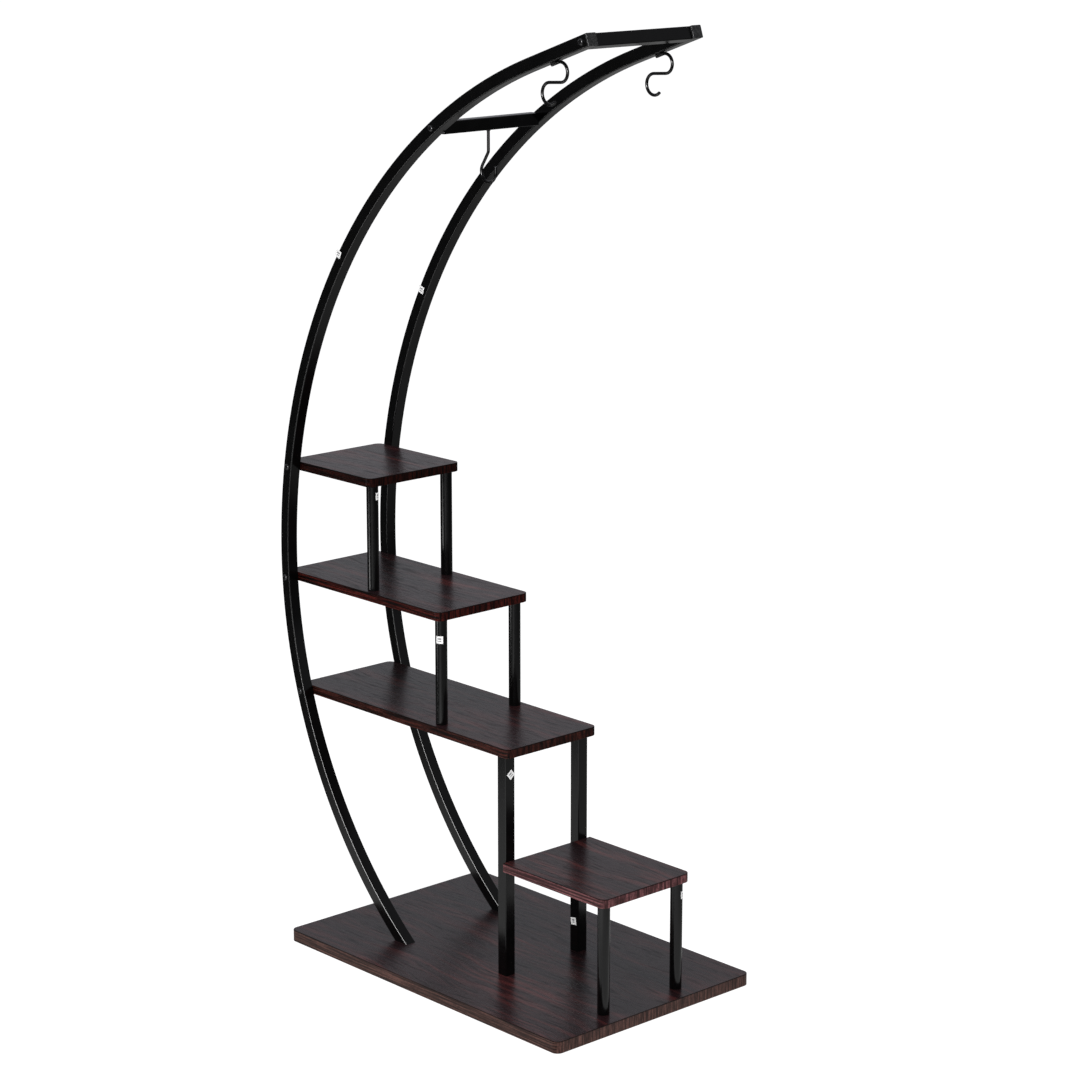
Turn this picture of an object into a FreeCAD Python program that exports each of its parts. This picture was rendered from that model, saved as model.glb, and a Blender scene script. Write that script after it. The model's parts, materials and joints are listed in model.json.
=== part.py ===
import FreeCAD, Part
import math
import os
import Sketcher
from FreeCAD import Placement, Rotation, Vector

# Tiered plant stand. Two arched rails of square tube rise from a base board and lean over it.
# Three shelves step down the arch, a side shelf stands beside the lowest one, and welded wire
# hooks hang under the rail tips and under a crossbar.
# Millimetres and degrees. Origin: middle of the base board's underside. +Z is up, the arch
# bulges to -X, its tips reach over to +X, and the front of the stand faces -Y.

# Driving sizes: alias, value, meaning.
SIZES = (
    ("base_length", "666", "base board along X"),
    ("base_depth", "430", "base board along Y"),
    ("base_thickness", "20", "base board"),
    ("board_thickness", "15", "all four shelves"),
    ("board_corner", "12", "rounded board corners, seen from above"),
    ("edge_band", "1", "thickness of the edge banding"),
    ("edge_ease", "0.7", "rounding of the banding's long edges"),
    ("tube_side", "20", "square tube of rails, crossbars and tall posts"),
    ("tube_wall", "1.2", "its wall"),
    ("tube_corner", "1.6", "its outer corner radius"),
    ("post_diameter", "20", "round posts and side legs"),
    ("post_wall", "1.2", "their wall"),
    ("rail_gap", "198", "between the rails' inner faces, filled by the shelves"),
    ("rail_reach", "453", "base centre to the middle line of the arch at its widest"),
    ("joint_height", "642", "widest point of the arch, where the two lengths meet"),
    ("lower_bend_radius", "802", "middle line of the lower length"),
    ("upper_bend_radius", "910", "middle line of the upper length"),
    ("upper_bend_angle", "71", "turn of the upper length before its straight tip"),
    ("tip_length", "135", "straight tip of the upper length"),
    ("sleeve_reach", "55", "joint sleeve, each way from the joint"),
    ("sleeve_wall", "1.5", "joint sleeve"),
    ("cap_flange", "3", "tip cap outside the tube"),
    ("cap_plug", "5.5", "tip cap inside the tube"),
    ("side_leg_length", "182", "base board to side shelf"),
    ("tall_post_length", "376", "base board to lower shelf"),
    ("post_length", "179", "between the upper shelves"),
    ("post_spacing", "161", "between the front and rear posts' middle lines"),
    ("post_inset", "16", "post middle line to the end of the shelf above"),
    ("tall_post_x", "66.5", "tall posts' middle line from the base centre"),
    ("tall_post_inset", "24.5", "tall posts' middle line to the lower shelf's end"),
    ("lower_step", "166", "middle shelf's end behind the lower shelf's"),
    ("upper_step", "172", "top shelf's end behind the middle shelf's"),
    ("shelf_overhang", "10", "shelves past the rails' outer curve"),
    ("side_shelf_length", "235", "from the tall posts' faces"),
    ("side_shelf_depth", "193", "side shelf along Y"),
    ("top_bar_setback", "1", "top crossbar behind the tube's end"),
    ("second_bar_angle", "55.3", "second crossbar's place on the upper bend"),
    ("fit_clearance", "0.2", "round every plug, sleeve and insert"),
    ("plug_length", "18", "threaded plugs in tube ends"),
    ("foot_plug_height", "10", "threaded plugs in the rail feet"),
    ("screw_diameter", "6", "all screws, bolts and studs"),
    ("hole_clearance", "0.5", "screw holes over the screw diameter"),
    ("head_diameter", "10.5", "domed screw heads"),
    ("head_height", "3.2", "domed screw heads"),
    ("bolt_head_diameter", "12", "bolt heads under the boards"),
    ("bolt_head_height", "4", "bolt heads under the boards"),
    ("socket_width", "4", "hexagon sockets across flats"),
    ("socket_depth", "2", "hexagon sockets"),
    ("recess_clearance", "1", "round a bolt head in its recess"),
    ("recess_spare", "0.6", "bolt head above the board's underside"),
    ("insert_diameter", "9", "threaded inserts in the boards"),
    ("insert_length", "24", "inserts in the shelf edges"),
    ("insert_depth", "10", "inserts in the boards' undersides"),
    ("tip_room", "2", "past the end of a screw or stud in its insert"),
    ("plug_grip", "15", "screw length inside a plug"),
    ("foot_grip", "8", "bolt length inside a rail foot"),
    ("hook_wire", "5", "wire of the hooks"),
    ("hook_setback", "78", "rail hook's first bend to the tube's end"),
    ("hook_weld", "16", "rail hook's welded run along the tube"),
    ("hook_upper_radius", "15", "rail hook's upper bend"),
    ("hook_upper_turn", "195", "rail hook's upper bend"),
    ("hook_middle", "26", "rail hook's straight between the bends"),
    ("hook_lower_radius", "16.5", "rail hook's lower bend"),
    ("hook_lower_turn", "222", "rail hook's lower bend"),
    ("shank_length", "33", "crossbar hook's straight shank"),
    ("shank_bend_radius", "8", "crossbar hook's first bend"),
    ("shank_bend_angle", "33", "crossbar hook's first bend"),
    ("loop_radius", "17", "crossbar hook's loop"),
    ("loop_tip", "9", "crossbar hook's straight end"),
    ("weld_diameter", "9", "weld round the crossbar hook's top"),
    ("weld_height", "3", "weld round the crossbar hook's top"),
)

TIERS = ("top", "middle", "lower")


def tier_rows(tier):
    """Where one shelf meets the rails: bend radius there, screw position and shelf end."""
    height = "(%s_mid - Sizes.joint_height)^2" % tier
    bend = "%s_bend" % tier
    return (
        (bend, "=%s_mid < Sizes.joint_height ? Sizes.lower_bend_radius : Sizes.upper_bend_radius"
         % tier),
        (tier + "_screw_x", "=%s - Sizes.rail_reach - sqrt(%s^2 - %s)" % (bend, bend, height)),
        (tier + "_left", "=%s - Sizes.rail_reach - sqrt((%s + Sizes.tube_side / 2)^2 - %s)"
         " - Sizes.shelf_overhang" % (bend, bend, height)),
    )


# Positions that follow from the sizes: alias, formula.
LAYOUT = (
    ("base_top", "=Sizes.base_thickness"),
    ("base_left", "=-Sizes.base_length / 2"),
    ("base_right", "=Sizes.base_length / 2"),
    ("side_bottom", "=base_top + Sizes.side_leg_length"),
    ("lower_bottom", "=base_top + Sizes.tall_post_length"),
    ("middle_bottom", "=lower_bottom + Sizes.board_thickness + Sizes.post_length"),
    ("top_bottom", "=middle_bottom + Sizes.board_thickness + Sizes.post_length"),
    ("side_mid", "=side_bottom + Sizes.board_thickness / 2"),
    ("lower_mid", "=lower_bottom + Sizes.board_thickness / 2"),
    ("middle_mid", "=middle_bottom + Sizes.board_thickness / 2"),
    ("top_mid", "=top_bottom + Sizes.board_thickness / 2"),
) + sum((tier_rows(tier) for tier in TIERS), ()) + (
    ("lower_right", "=Sizes.tall_post_x + Sizes.tall_post_inset"),
    ("middle_right", "=lower_right - Sizes.lower_step"),
    ("top_right", "=middle_right - Sizes.upper_step"),
    ("side_left", "=Sizes.tall_post_x + Sizes.tube_side / 2"),
    ("side_right", "=side_left + Sizes.side_shelf_length"),
    ("top_post_x", "=top_right - Sizes.post_inset"),
    ("middle_post_x", "=middle_right - Sizes.post_inset"),
    ("side_leg_x", "=side_right - Sizes.post_inset"),
    ("post_row", "=Sizes.post_spacing / 2"),
    ("rail_inner", "=Sizes.rail_gap / 2"),
    ("rail_middle", "=rail_inner + Sizes.tube_side / 2"),
    ("rail_outer", "=rail_inner + Sizes.tube_side"),
    ("bore_side", "=Sizes.tube_side - 2 * Sizes.tube_wall"),
    ("plug_side", "=bore_side - 2 * Sizes.fit_clearance"),
    ("plug_round", "=Sizes.post_diameter - 2 * Sizes.post_wall - 2 * Sizes.fit_clearance"),
    ("screw_hole", "=Sizes.screw_diameter + Sizes.hole_clearance"),
    ("thread_bore", "=Sizes.screw_diameter + Sizes.fit_clearance"),
    ("insert_hole", "=Sizes.insert_diameter + Sizes.fit_clearance"),
    ("recess_diameter", "=Sizes.bolt_head_diameter + 2 * Sizes.recess_clearance"),
    ("recess_depth", "=Sizes.bolt_head_height + Sizes.recess_spare"),
    ("shelf_grip", "=Sizes.insert_length - Sizes.tip_room"),
    ("stud_grip", "=Sizes.insert_depth - Sizes.tip_room"),
    ("lower_axis_x", "=Sizes.lower_bend_radius - Sizes.rail_reach"),
    ("upper_axis_x", "=Sizes.upper_bend_radius - Sizes.rail_reach"),
    ("foot_drop", "=Sizes.joint_height - base_top"),
    ("foot_inner_radius", "=Sizes.lower_bend_radius - Sizes.tube_side / 2"),
    ("foot_sweep", "=asin(foot_drop / foot_inner_radius) / 1 deg + 3"),
    ("foot_left", "=lower_axis_x - sqrt((Sizes.lower_bend_radius + bore_side / 2)^2 - foot_drop^2)"),
    ("foot_right", "=lower_axis_x - sqrt((Sizes.lower_bend_radius - bore_side / 2)^2"
     " - (foot_drop - Sizes.foot_plug_height)^2)"),
    ("foot_bolt_x", "=(foot_left + foot_right) / 2"),
    ("sleeve_lower_turn", "=Sizes.sleeve_reach / Sizes.lower_bend_radius * 180 / pi"),
    ("sleeve_upper_turn", "=Sizes.sleeve_reach / Sizes.upper_bend_radius * 180 / pi"),
    ("tip_slope", "=90 - Sizes.upper_bend_angle"),
    ("bend_end_x", "=Sizes.upper_bend_radius * (1 - cos(Sizes.upper_bend_angle))"),
    ("bend_end_z", "=Sizes.upper_bend_radius * sin(Sizes.upper_bend_angle)"),
    ("tip_x", "=bend_end_x - Sizes.rail_reach"),
    ("tip_z", "=bend_end_z + Sizes.joint_height"),
    ("cap_x", "=tip_x + Sizes.tip_length * cos(tip_slope)"),
    ("cap_z", "=tip_z + Sizes.tip_length * sin(tip_slope)"),
    ("top_bar_along", "=Sizes.tip_length - Sizes.top_bar_setback - Sizes.tube_side / 2"),
    ("top_bar_x", "=tip_x + top_bar_along * cos(tip_slope)"),
    ("top_bar_z", "=tip_z + top_bar_along * sin(tip_slope)"),
    ("second_bar_x", "=upper_axis_x - Sizes.upper_bend_radius * cos(Sizes.second_bar_angle)"),
    ("second_bar_z", "=Sizes.joint_height + Sizes.upper_bend_radius * sin(Sizes.second_bar_angle)"),
    ("hook_along", "=Sizes.tip_length - Sizes.hook_setback"),
    ("hook_drop", "=(Sizes.tube_side + Sizes.hook_wire) / 2"),
    ("hook_x", "=tip_x + hook_along * cos(tip_slope) + hook_drop * sin(tip_slope)"),
    ("hook_z", "=tip_z + hook_along * sin(tip_slope) - hook_drop * cos(tip_slope)"),
)

# Turns that point a piece's own +Z along a row axis.
POINTING = {
    "+x": Rotation(Vector(0, 1, 0), 90),
    "-x": Rotation(Vector(0, 1, 0), -90),
    "+y": Rotation(Vector(1, 0, 0), -90),
    "-y": Rotation(Vector(1, 0, 0), 90),
    "+z": Rotation(),
    "-z": Rotation(Vector(1, 0, 0), 180),
}
SIDES = (("front", "-"), ("rear", "+"))
INWARD = {"-": "+y", "+": "-y"}
OUTWARD = {"-": "-y", "+": "+y"}

doc = FreeCAD.newDocument("plant_stand")


def fill_sheet(name, rows):
    sheet = doc.addObject("Spreadsheet::Sheet", name)
    for number, row in enumerate(rows, 1):
        sheet.set("A%d" % number, row[0])
        sheet.set("B%d" % number, row[1])
        sheet.setAlias("B%d" % number, row[0])
        if len(row) > 2:
            sheet.set("C%d" % number, row[2])
    doc.recompute()
    return sheet


sizes = fill_sheet("Sizes", SIZES)
layout = fill_sheet("Layout", LAYOUT)


def value(expression):
    return float(layout.evalExpression(expression))


def place(piece, x, y, z, turn=Rotation()):
    """Puts a piece at a point given by three formulas."""
    piece.Placement = Placement(Vector(), turn)
    for axis, formula in zip("xyz", (x, y, z)):
        piece.setExpression("Placement.Base." + axis, formula)
    return piece


# Sketches and features

def new_body(label):
    return doc.addObject("PartDesign::Body", label)


def new_sketch(body, plane, **offsets):
    """A sketch on one of the body's own planes, moved along it or off it by formulas."""
    sketch = body.newObject("Sketcher::SketchObject", body.Label + "_sketch")
    support = [f for f in body.Origin.OriginFeatures if f.Role == plane]
    sketch.AttachmentSupport = [(support[0], "")]
    sketch.MapMode = "FlatFace"
    for axis, formula in offsets.items():
        sketch.setExpression("AttachmentOffset.Base." + axis, formula)
    return sketch


def measure(sketch, formula, kind, *geometry):
    """A dimension in a sketch, driven by a formula."""
    index = sketch.addConstraint(Sketcher.Constraint(kind, *geometry, value(formula)))
    sketch.setExpression("Constraints[%d]" % index, formula)


def measure_angle(sketch, formula, *geometry):
    size = math.radians(value(formula))
    index = sketch.addConstraint(Sketcher.Constraint("Angle", *geometry, size))
    sketch.setExpression("Constraints[%d]" % index, "(%s) * 1 deg" % formula)


def join(sketch, kind, *geometry):
    sketch.addConstraint(Sketcher.Constraint(kind, *geometry))


def circle(sketch, diameter):
    index = sketch.addGeometry(Part.Circle(Vector(), Vector(0, 0, 1), value(diameter) / 2))
    join(sketch, "Coincident", index, 3, -1, 1)
    measure(sketch, diameter, "Diameter", index)


def rectangle(sketch, width, height):
    """Sharp outline centred on the sketch's origin."""
    w, h = value(width) / 2, value(height) / 2
    corners = (Vector(-w, -h), Vector(w, -h), Vector(w, h), Vector(-w, h))
    first = sketch.GeometryCount
    for number in range(4):
        sketch.addGeometry(Part.LineSegment(corners[number], corners[(number + 1) % 4]))
    for number in range(4):
        join(sketch, "Coincident", first + number, 2, first + (number + 1) % 4, 1)
        join(sketch, ("Horizontal", "Vertical")[number % 2], first + number)
    measure(sketch, width, "DistanceX", first, 1, first, 2)
    measure(sketch, height, "DistanceY", first + 1, 1, first + 1, 2)
    measure(sketch, "(%s) / 2" % width, "DistanceX", -1, 1, first + 1, 1)
    measure(sketch, "(%s) / 2" % height, "DistanceY", -1, 1, first + 2, 1)


def rounded_square(sketch, side, corner):
    """Square with round corners centred on the sketch's origin."""
    h, r = value(side) / 2, value(corner)
    flat = h - r
    first = sketch.GeometryCount
    for start, end in (((-flat, -h), (flat, -h)), ((h, -flat), (h, flat)),
                       ((flat, h), (-flat, h)), ((-h, flat), (-h, -flat))):
        sketch.addGeometry(Part.LineSegment(Vector(*start), Vector(*end)))
    for number, middle in enumerate(((flat, -flat), (flat, flat), (-flat, flat), (-flat, -flat))):
        start, end = math.radians(90 * number - 90), math.radians(90 * number)
        round_end = Part.Circle(Vector(*middle), Vector(0, 0, 1), r)
        sketch.addGeometry(Part.ArcOfCircle(round_end, start, end))
    for number in range(4):
        join(sketch, ("Horizontal", "Vertical")[number % 2], first + number)
        join(sketch, "Tangent", first + number, 2, first + 4 + number, 1)
        join(sketch, "Tangent", first + 4 + number, 2, first + (number + 1) % 4, 1)
    for number in range(5, 8):
        join(sketch, "Equal", first + 4, first + number)
    measure(sketch, corner, "Radius", first + 4)
    measure(sketch, side, "DistanceX", first + 3, 1, first + 1, 1)
    measure(sketch, side, "DistanceY", first, 1, first + 2, 1)
    measure(sketch, "(%s) / 2" % side, "DistanceX", -1, 1, first + 1, 1)
    measure(sketch, "(%s) / 2" % side, "DistanceY", -1, 1, first + 2, 1)


def hexagon(sketch, width):
    """Regular hexagon across flats, centred on the sketch's origin."""
    ring = sketch.addGeometry(Part.Circle(Vector(), Vector(0, 0, 1), value(width) / 3 ** 0.5), True)
    join(sketch, "Coincident", ring, 3, -1, 1)
    measure(sketch, "2 * (%s) / sqrt(3)" % width, "Diameter", ring)
    arm = Vector(value(width) / 3 ** 0.5, 0, 0)
    points = [Rotation(Vector(0, 0, 1), 60 * number).multVec(arm) for number in range(6)]
    first = sketch.GeometryCount
    for number in range(6):
        sketch.addGeometry(Part.LineSegment(points[number], points[(number + 1) % 6]))
    for number in range(6):
        join(sketch, "Coincident", first + number, 2, first + (number + 1) % 6, 1)
        join(sketch, "PointOnObject", first + number, 1, ring)
    for number in range(1, 6):
        join(sketch, "Equal", first, first + number)
    join(sketch, "PointOnObject", first, 1, -1)


def tube_ring(sketch, side, wall, corner):
    """Section of a square tube."""
    rounded_square(sketch, side, corner)
    rounded_square(sketch, "%s - 2 * %s" % (side, wall), "max(%s - %s; 0.2)" % (corner, wall))


def pad(body, sketch, length, back=False, both=False):
    feature = body.newObject("PartDesign::Pad", body.Label + "_pad")
    feature.Profile = sketch
    feature.setExpression("Length", length)
    feature.Reversed = back
    feature.SideType = "Symmetric" if both else "One side"
    return feature


def pocket(body, sketch, depth):
    feature = body.newObject("PartDesign::Pocket", body.Label + "_pocket")
    feature.Profile = sketch
    feature.setExpression("Length", depth)
    return feature


def fillet(body, feature, radius, chosen):
    """Rounds the edges of a feature for which chosen(edge) holds."""
    doc.recompute()
    names = ["Edge%d" % number for number, edge in enumerate(feature.Shape.Edges, 1) if chosen(edge)]
    rounding = body.newObject("PartDesign::Fillet", body.Label + "_fillet")
    rounding.Base = (feature, names)
    rounding.setExpression("Radius", radius)
    return rounding


def axis_line(sketch, distance):
    """Construction line parallel to the sketch's Y axis, to revolve a section about."""
    x = value(distance)
    index = sketch.addGeometry(Part.LineSegment(Vector(x, -20, 0), Vector(x, 20, 0)), True)
    join(sketch, "Vertical", index)
    measure(sketch, distance, "DistanceX", -1, 1, index, 1)
    measure(sketch, "20", "DistanceY", index, 1, -1, 1)
    measure(sketch, "20", "DistanceY", -1, 1, index, 2)


def bend(body, sketch, axis, angle, down=False):
    feature = body.newObject("PartDesign::Revolution", body.Label + "_bend")
    feature.Profile = sketch
    feature.ReferenceAxis = (sketch, [axis])
    feature.setExpression("Angle", angle)
    feature.Reversed = down
    return feature


# Cutting and grouping

def cutter(x, y, z, direction, diameter, length):
    tool = doc.addObject("Part::Cylinder", "cutter")
    tool.setExpression("Radius", "(%s) / 2" % diameter)
    tool.setExpression("Height", length)
    return place(tool, x, y, z, POINTING[direction])


def cut(label, blank, tools):
    """The blank with every tool taken out of it."""
    piece = doc.addObject("Part::Cut", label)
    piece.Base = blank
    piece.Tool = tools[0]
    if len(tools) > 1:
        piece.Tool = doc.addObject("Part::MultiFuse", label + "_cutters")
        piece.Tool.Shapes = tools
    return piece


def group(label, *sets):
    """One node of separate like solids: each set is a master and the places of its copies."""
    copies = []
    for master, places in sets:
        for spot in places:
            copy = doc.addObject("App::Link", label + "_copy")
            copy.LinkedObject = master
            copies.append(place(copy, *spot))
    node = doc.addObject("Part::Compound", label)
    node.Links = copies
    return node


def front_and_rear(x, y, z, turn):
    """Two places mirrored across the stand's middle plane."""
    return [(x, sign + y, z, turn) for _, sign in SIDES]


# Boards and their edge bands

def board_outline(label, length, depth, thickness, inset, square_end):
    """Flat board on its own underside; a square end leaves the -X corners sharp."""
    body = new_body(label)
    sketch = new_sketch(body, "XY_Plane")
    rectangle(sketch, "%s - 2 * %s" % (length, inset), "%s - 2 * %s" % (depth, inset))
    slab = pad(body, sketch, thickness)

    def upright(edge):
        middle = edge.CenterOfMass
        return abs(edge.tangentAt(edge.FirstParameter).z) > 0.9 and (middle.x > 0 or not square_end)

    return body, fillet(body, slab, "Sizes.board_corner - %s" % inset, upright)


def board(name, left, right, bottom, depth, thickness, cutters, square_end=False):
    """A board and the band glued round its edge, both drilled by the same cutters."""
    length = "(%s - %s)" % (right, left)
    spot = ("(%s + %s) / 2" % (right, left), "0", bottom)
    core, _ = board_outline(name + "_core", length, depth, thickness, "Sizes.edge_band", square_end)
    outline, slab = board_outline(name + "_outline", length, depth, thickness, "0", square_end)
    fillet(outline, slab, "Sizes.edge_ease", lambda edge: edge.BoundBox.ZLength < 0.01)
    place(core, *spot)
    place(outline, *spot)
    return [cut(name, core, cutters), cut(name + "_edge_band", outline, [core] + cutters)]


def bolt_cutters(x, y, bottom, thickness):
    """Through hole with a recess for the bolt head in a board's underside."""
    start = "%s - 1" % bottom
    return [cutter(x, y, start, "+z", "Layout.screw_hole", "%s + 2" % thickness),
            cutter(x, y, start, "+z", "Layout.recess_diameter", "Layout.recess_depth + 1")]


def stud_cutters(x, bottom):
    """Blind holes for the inserts over a pair of posts."""
    return [cutter(x, sign + "Layout.post_row", "%s - 1" % bottom, "+z",
                   "Layout.insert_hole", "Sizes.insert_depth + 1") for _, sign in SIDES]


def edge_cutters(tier):
    """Blind holes for the inserts in a shelf's long edges, on the rails' middle line."""
    return [cutter("Layout.%s_screw_x" % tier, "%s(Layout.rail_inner + 1)" % sign,
                   "Layout.%s_mid" % tier, INWARD[sign],
                   "Layout.insert_hole", "Sizes.insert_length + 1") for _, sign in SIDES]


def pair_of_bolts(x, bottom, thickness):
    return sum((bolt_cutters(x, sign + "Layout.post_row", bottom, thickness)
                for _, sign in SIDES), [])


def base_board():
    cutters = pair_of_bolts("Sizes.tall_post_x", "0", "Sizes.base_thickness")
    cutters += pair_of_bolts("Layout.side_leg_x", "0", "Sizes.base_thickness")
    for _, sign in SIDES:
        cutters += bolt_cutters("Layout.foot_bolt_x", sign + "Layout.rail_middle", "0",
                                "Sizes.base_thickness")
    return board("base_board", "Layout.base_left", "Layout.base_right", "0",
                 "Sizes.base_depth", "Sizes.base_thickness", cutters)


def rail_shelf(tier, post_x, bolt_x=None):
    """A shelf between the rails: inserts in its long edges and over the posts that carry it."""
    bottom = "Layout.%s_bottom" % tier
    cutters = edge_cutters(tier) + stud_cutters(post_x, bottom)
    if bolt_x:
        cutters += pair_of_bolts(bolt_x, bottom, "Sizes.board_thickness")
    return board("shelf_" + tier, "Layout.%s_left" % tier, "Layout.%s_right" % tier, bottom,
                 "Sizes.rail_gap", "Sizes.board_thickness", cutters)


def side_shelf():
    bottom = "Layout.side_bottom"
    cutters = stud_cutters("Layout.side_leg_x", bottom)
    for _, sign in SIDES:
        cutters.append(cutter("Layout.side_left - 1", sign + "Layout.post_row", "Layout.side_mid",
                              "+x", "Layout.insert_hole", "Sizes.insert_length + 1"))
    return board("side_shelf", "Layout.side_left", "Layout.side_right", bottom,
                 "Sizes.side_shelf_depth", "Sizes.board_thickness", cutters, square_end=True)


# Rails

def rail_holes(sign):
    """Screw holes across a rail, at every shelf edge and both crossbars."""
    spots = [("Layout.%s_screw_x" % tier, "Layout.%s_mid" % tier) for tier in TIERS]
    spots += [("Layout.top_bar_x", "Layout.top_bar_z"), ("Layout.second_bar_x", "Layout.second_bar_z")]
    return [cutter(x, "%s(Layout.rail_inner - 1)" % sign, z, OUTWARD[sign],
                   "Layout.screw_hole", "Sizes.tube_side + 2") for x, z in spots]


def at_joint(body, sign):
    return place(body, "-Sizes.rail_reach", sign + "Layout.rail_middle", "Sizes.joint_height")


def rail_lower(side, sign):
    """Lower length: one bend from the joint down to the base board, cut level at its foot."""
    body = new_body("rail_lower_%s_tube" % side)
    section = new_sketch(body, "XY_Plane")
    tube_ring(section, "Sizes.tube_side", "Sizes.tube_wall", "Sizes.tube_corner")
    axis_line(section, "Sizes.lower_bend_radius")
    bend(body, section, "Axis0", "Layout.foot_sweep", down=True)
    below = new_sketch(body, "XY_Plane", z="-Layout.foot_drop")
    rectangle(below, "2 * Sizes.lower_bend_radius", "2 * Sizes.tube_side")
    pocket(body, below, "Sizes.lower_bend_radius")
    return cut("rail_lower_" + side, at_joint(body, sign), rail_holes(sign))


def rail_upper(side, sign):
    """Upper length: one bend from the joint up and over, then a straight tip."""
    body = new_body("rail_upper_%s_tube" % side)
    section = new_sketch(body, "XY_Plane")
    tube_ring(section, "Sizes.tube_side", "Sizes.tube_wall", "Sizes.tube_corner")
    axis_line(section, "Sizes.upper_bend_radius")
    bend(body, section, "Axis0", "Sizes.upper_bend_angle")
    tip = new_sketch(body, "XY_Plane")
    tip.AttachmentOffset = Placement(Vector(), Rotation(Vector(0, 1, 0), value("Sizes.upper_bend_angle")))
    tip.setExpression("AttachmentOffset.Base.x", "Layout.bend_end_x")
    tip.setExpression("AttachmentOffset.Base.z", "Layout.bend_end_z")
    tip.setExpression("AttachmentOffset.Rotation.Angle", "Sizes.upper_bend_angle")
    tube_ring(tip, "Sizes.tube_side", "Sizes.tube_wall", "Sizes.tube_corner")
    pad(body, tip, "Sizes.tip_length")
    return cut("rail_upper_" + side, at_joint(body, sign), rail_holes(sign))


def rail_sleeve(side, sign):
    """Sleeve inside the joint, bent like the two lengths it joins."""
    body = new_body("rail_sleeve_%s_tube" % side)
    section = new_sketch(body, "XY_Plane")
    tube_ring(section, "Layout.plug_side", "Sizes.sleeve_wall", "0.5")
    axis_line(section, "Sizes.upper_bend_radius")
    axis_line(section, "Sizes.lower_bend_radius")
    bend(body, section, "Axis0", "Layout.sleeve_upper_turn")
    bend(body, section, "Axis1", "Layout.sleeve_lower_turn", down=True)
    return cut("rail_sleeve_" + side, at_joint(body, sign), rail_holes(sign))


def rail_foot_plug(side, sign):
    """Threaded plug that fills the tube just above the base board."""
    body = new_body("rail_foot_plug_%s_bar" % side)
    section = new_sketch(body, "XY_Plane")
    rectangle(section, "Layout.plug_side", "Layout.plug_side")
    axis_line(section, "Sizes.lower_bend_radius")
    bend(body, section, "Axis0", "Layout.foot_sweep", down=True)
    slab = doc.addObject("Part::Box", "foot_slab")
    slab.setExpression("Length", "2 * Sizes.lower_bend_radius")
    slab.setExpression("Width", "2 * Sizes.tube_side")
    slab.setExpression("Height", "Sizes.foot_plug_height")
    place(slab, "-Sizes.rail_reach", "%sLayout.rail_middle - Sizes.tube_side" % sign, "Layout.base_top")
    foot = doc.addObject("Part::Common", "foot_blank")
    foot.Base = at_joint(body, sign)
    foot.Tool = slab
    bore = cutter("Layout.foot_bolt_x", sign + "Layout.rail_middle", "Layout.base_top - 1", "+z",
                  "Layout.thread_bore", "Sizes.foot_plug_height + 2")
    return cut("rail_foot_plug_" + side, foot, [bore])


def rail_cap(side, sign):
    """Plastic cap pushed into the rail's tip."""
    body = new_body("rail_cap_" + side)
    face = new_sketch(body, "XY_Plane")
    rounded_square(face, "Sizes.tube_side", "Sizes.tube_corner")
    flange = pad(body, face, "Sizes.cap_flange")
    flange = fillet(body, flange, "Sizes.cap_flange / 4",
                    lambda edge: edge.BoundBox.ZMin > value("Sizes.cap_flange") - 0.01)
    plug = new_sketch(body, "XY_Plane")
    rounded_square(plug, "Layout.plug_side", "0.2")
    pad(body, plug, "Sizes.cap_plug", back=True)
    place(body, "Layout.cap_x", sign + "Layout.rail_middle", "Layout.cap_z",
          Rotation(Vector(0, 1, 0), value("Sizes.upper_bend_angle")))
    body.setExpression("Placement.Rotation.Angle", "Sizes.upper_bend_angle")
    return body


# Crossbars

def turned_with_tip(piece):
    """Turns a piece made across the rails with the rails' straight tips."""
    piece.Placement.Rotation = Rotation(Vector(0, 1, 0), value("Sizes.upper_bend_angle"))
    piece.setExpression("Placement.Rotation.Angle", "Sizes.upper_bend_angle")
    return piece


def crossbar(label, x, z):
    body = new_body(label)
    section = new_sketch(body, "XZ_Plane")
    tube_ring(section, "Sizes.tube_side", "Sizes.tube_wall", "Sizes.tube_corner")
    pad(body, section, "Sizes.rail_gap", both=True)
    return place(body, x, "0", z)


def crossbar_plug():
    body = new_body("crossbar_plug")
    section = new_sketch(body, "XZ_Plane")
    rounded_square(section, "Layout.plug_side", "0.2")
    circle(section, "Layout.thread_bore")
    pad(body, section, "Sizes.plug_length", both=True)
    return body


def crossbars():
    top = turned_with_tip(crossbar("crossbar_top", "Layout.top_bar_x", "Layout.top_bar_z"))
    second = crossbar("crossbar_second", "Layout.second_bar_x", "Layout.second_bar_z")
    inset = "(Layout.rail_inner - Sizes.plug_length / 2)"
    master = crossbar_plug()
    plugs = group(
        "crossbar_plugs",
        (master, front_and_rear("Layout.top_bar_x", inset, "Layout.top_bar_z", Rotation())),
        (master, front_and_rear("Layout.second_bar_x", inset, "Layout.second_bar_z", Rotation())))
    for copy in plugs.Links[:2]:
        turned_with_tip(copy)
    return [top, second, plugs]


# Hooks

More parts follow.
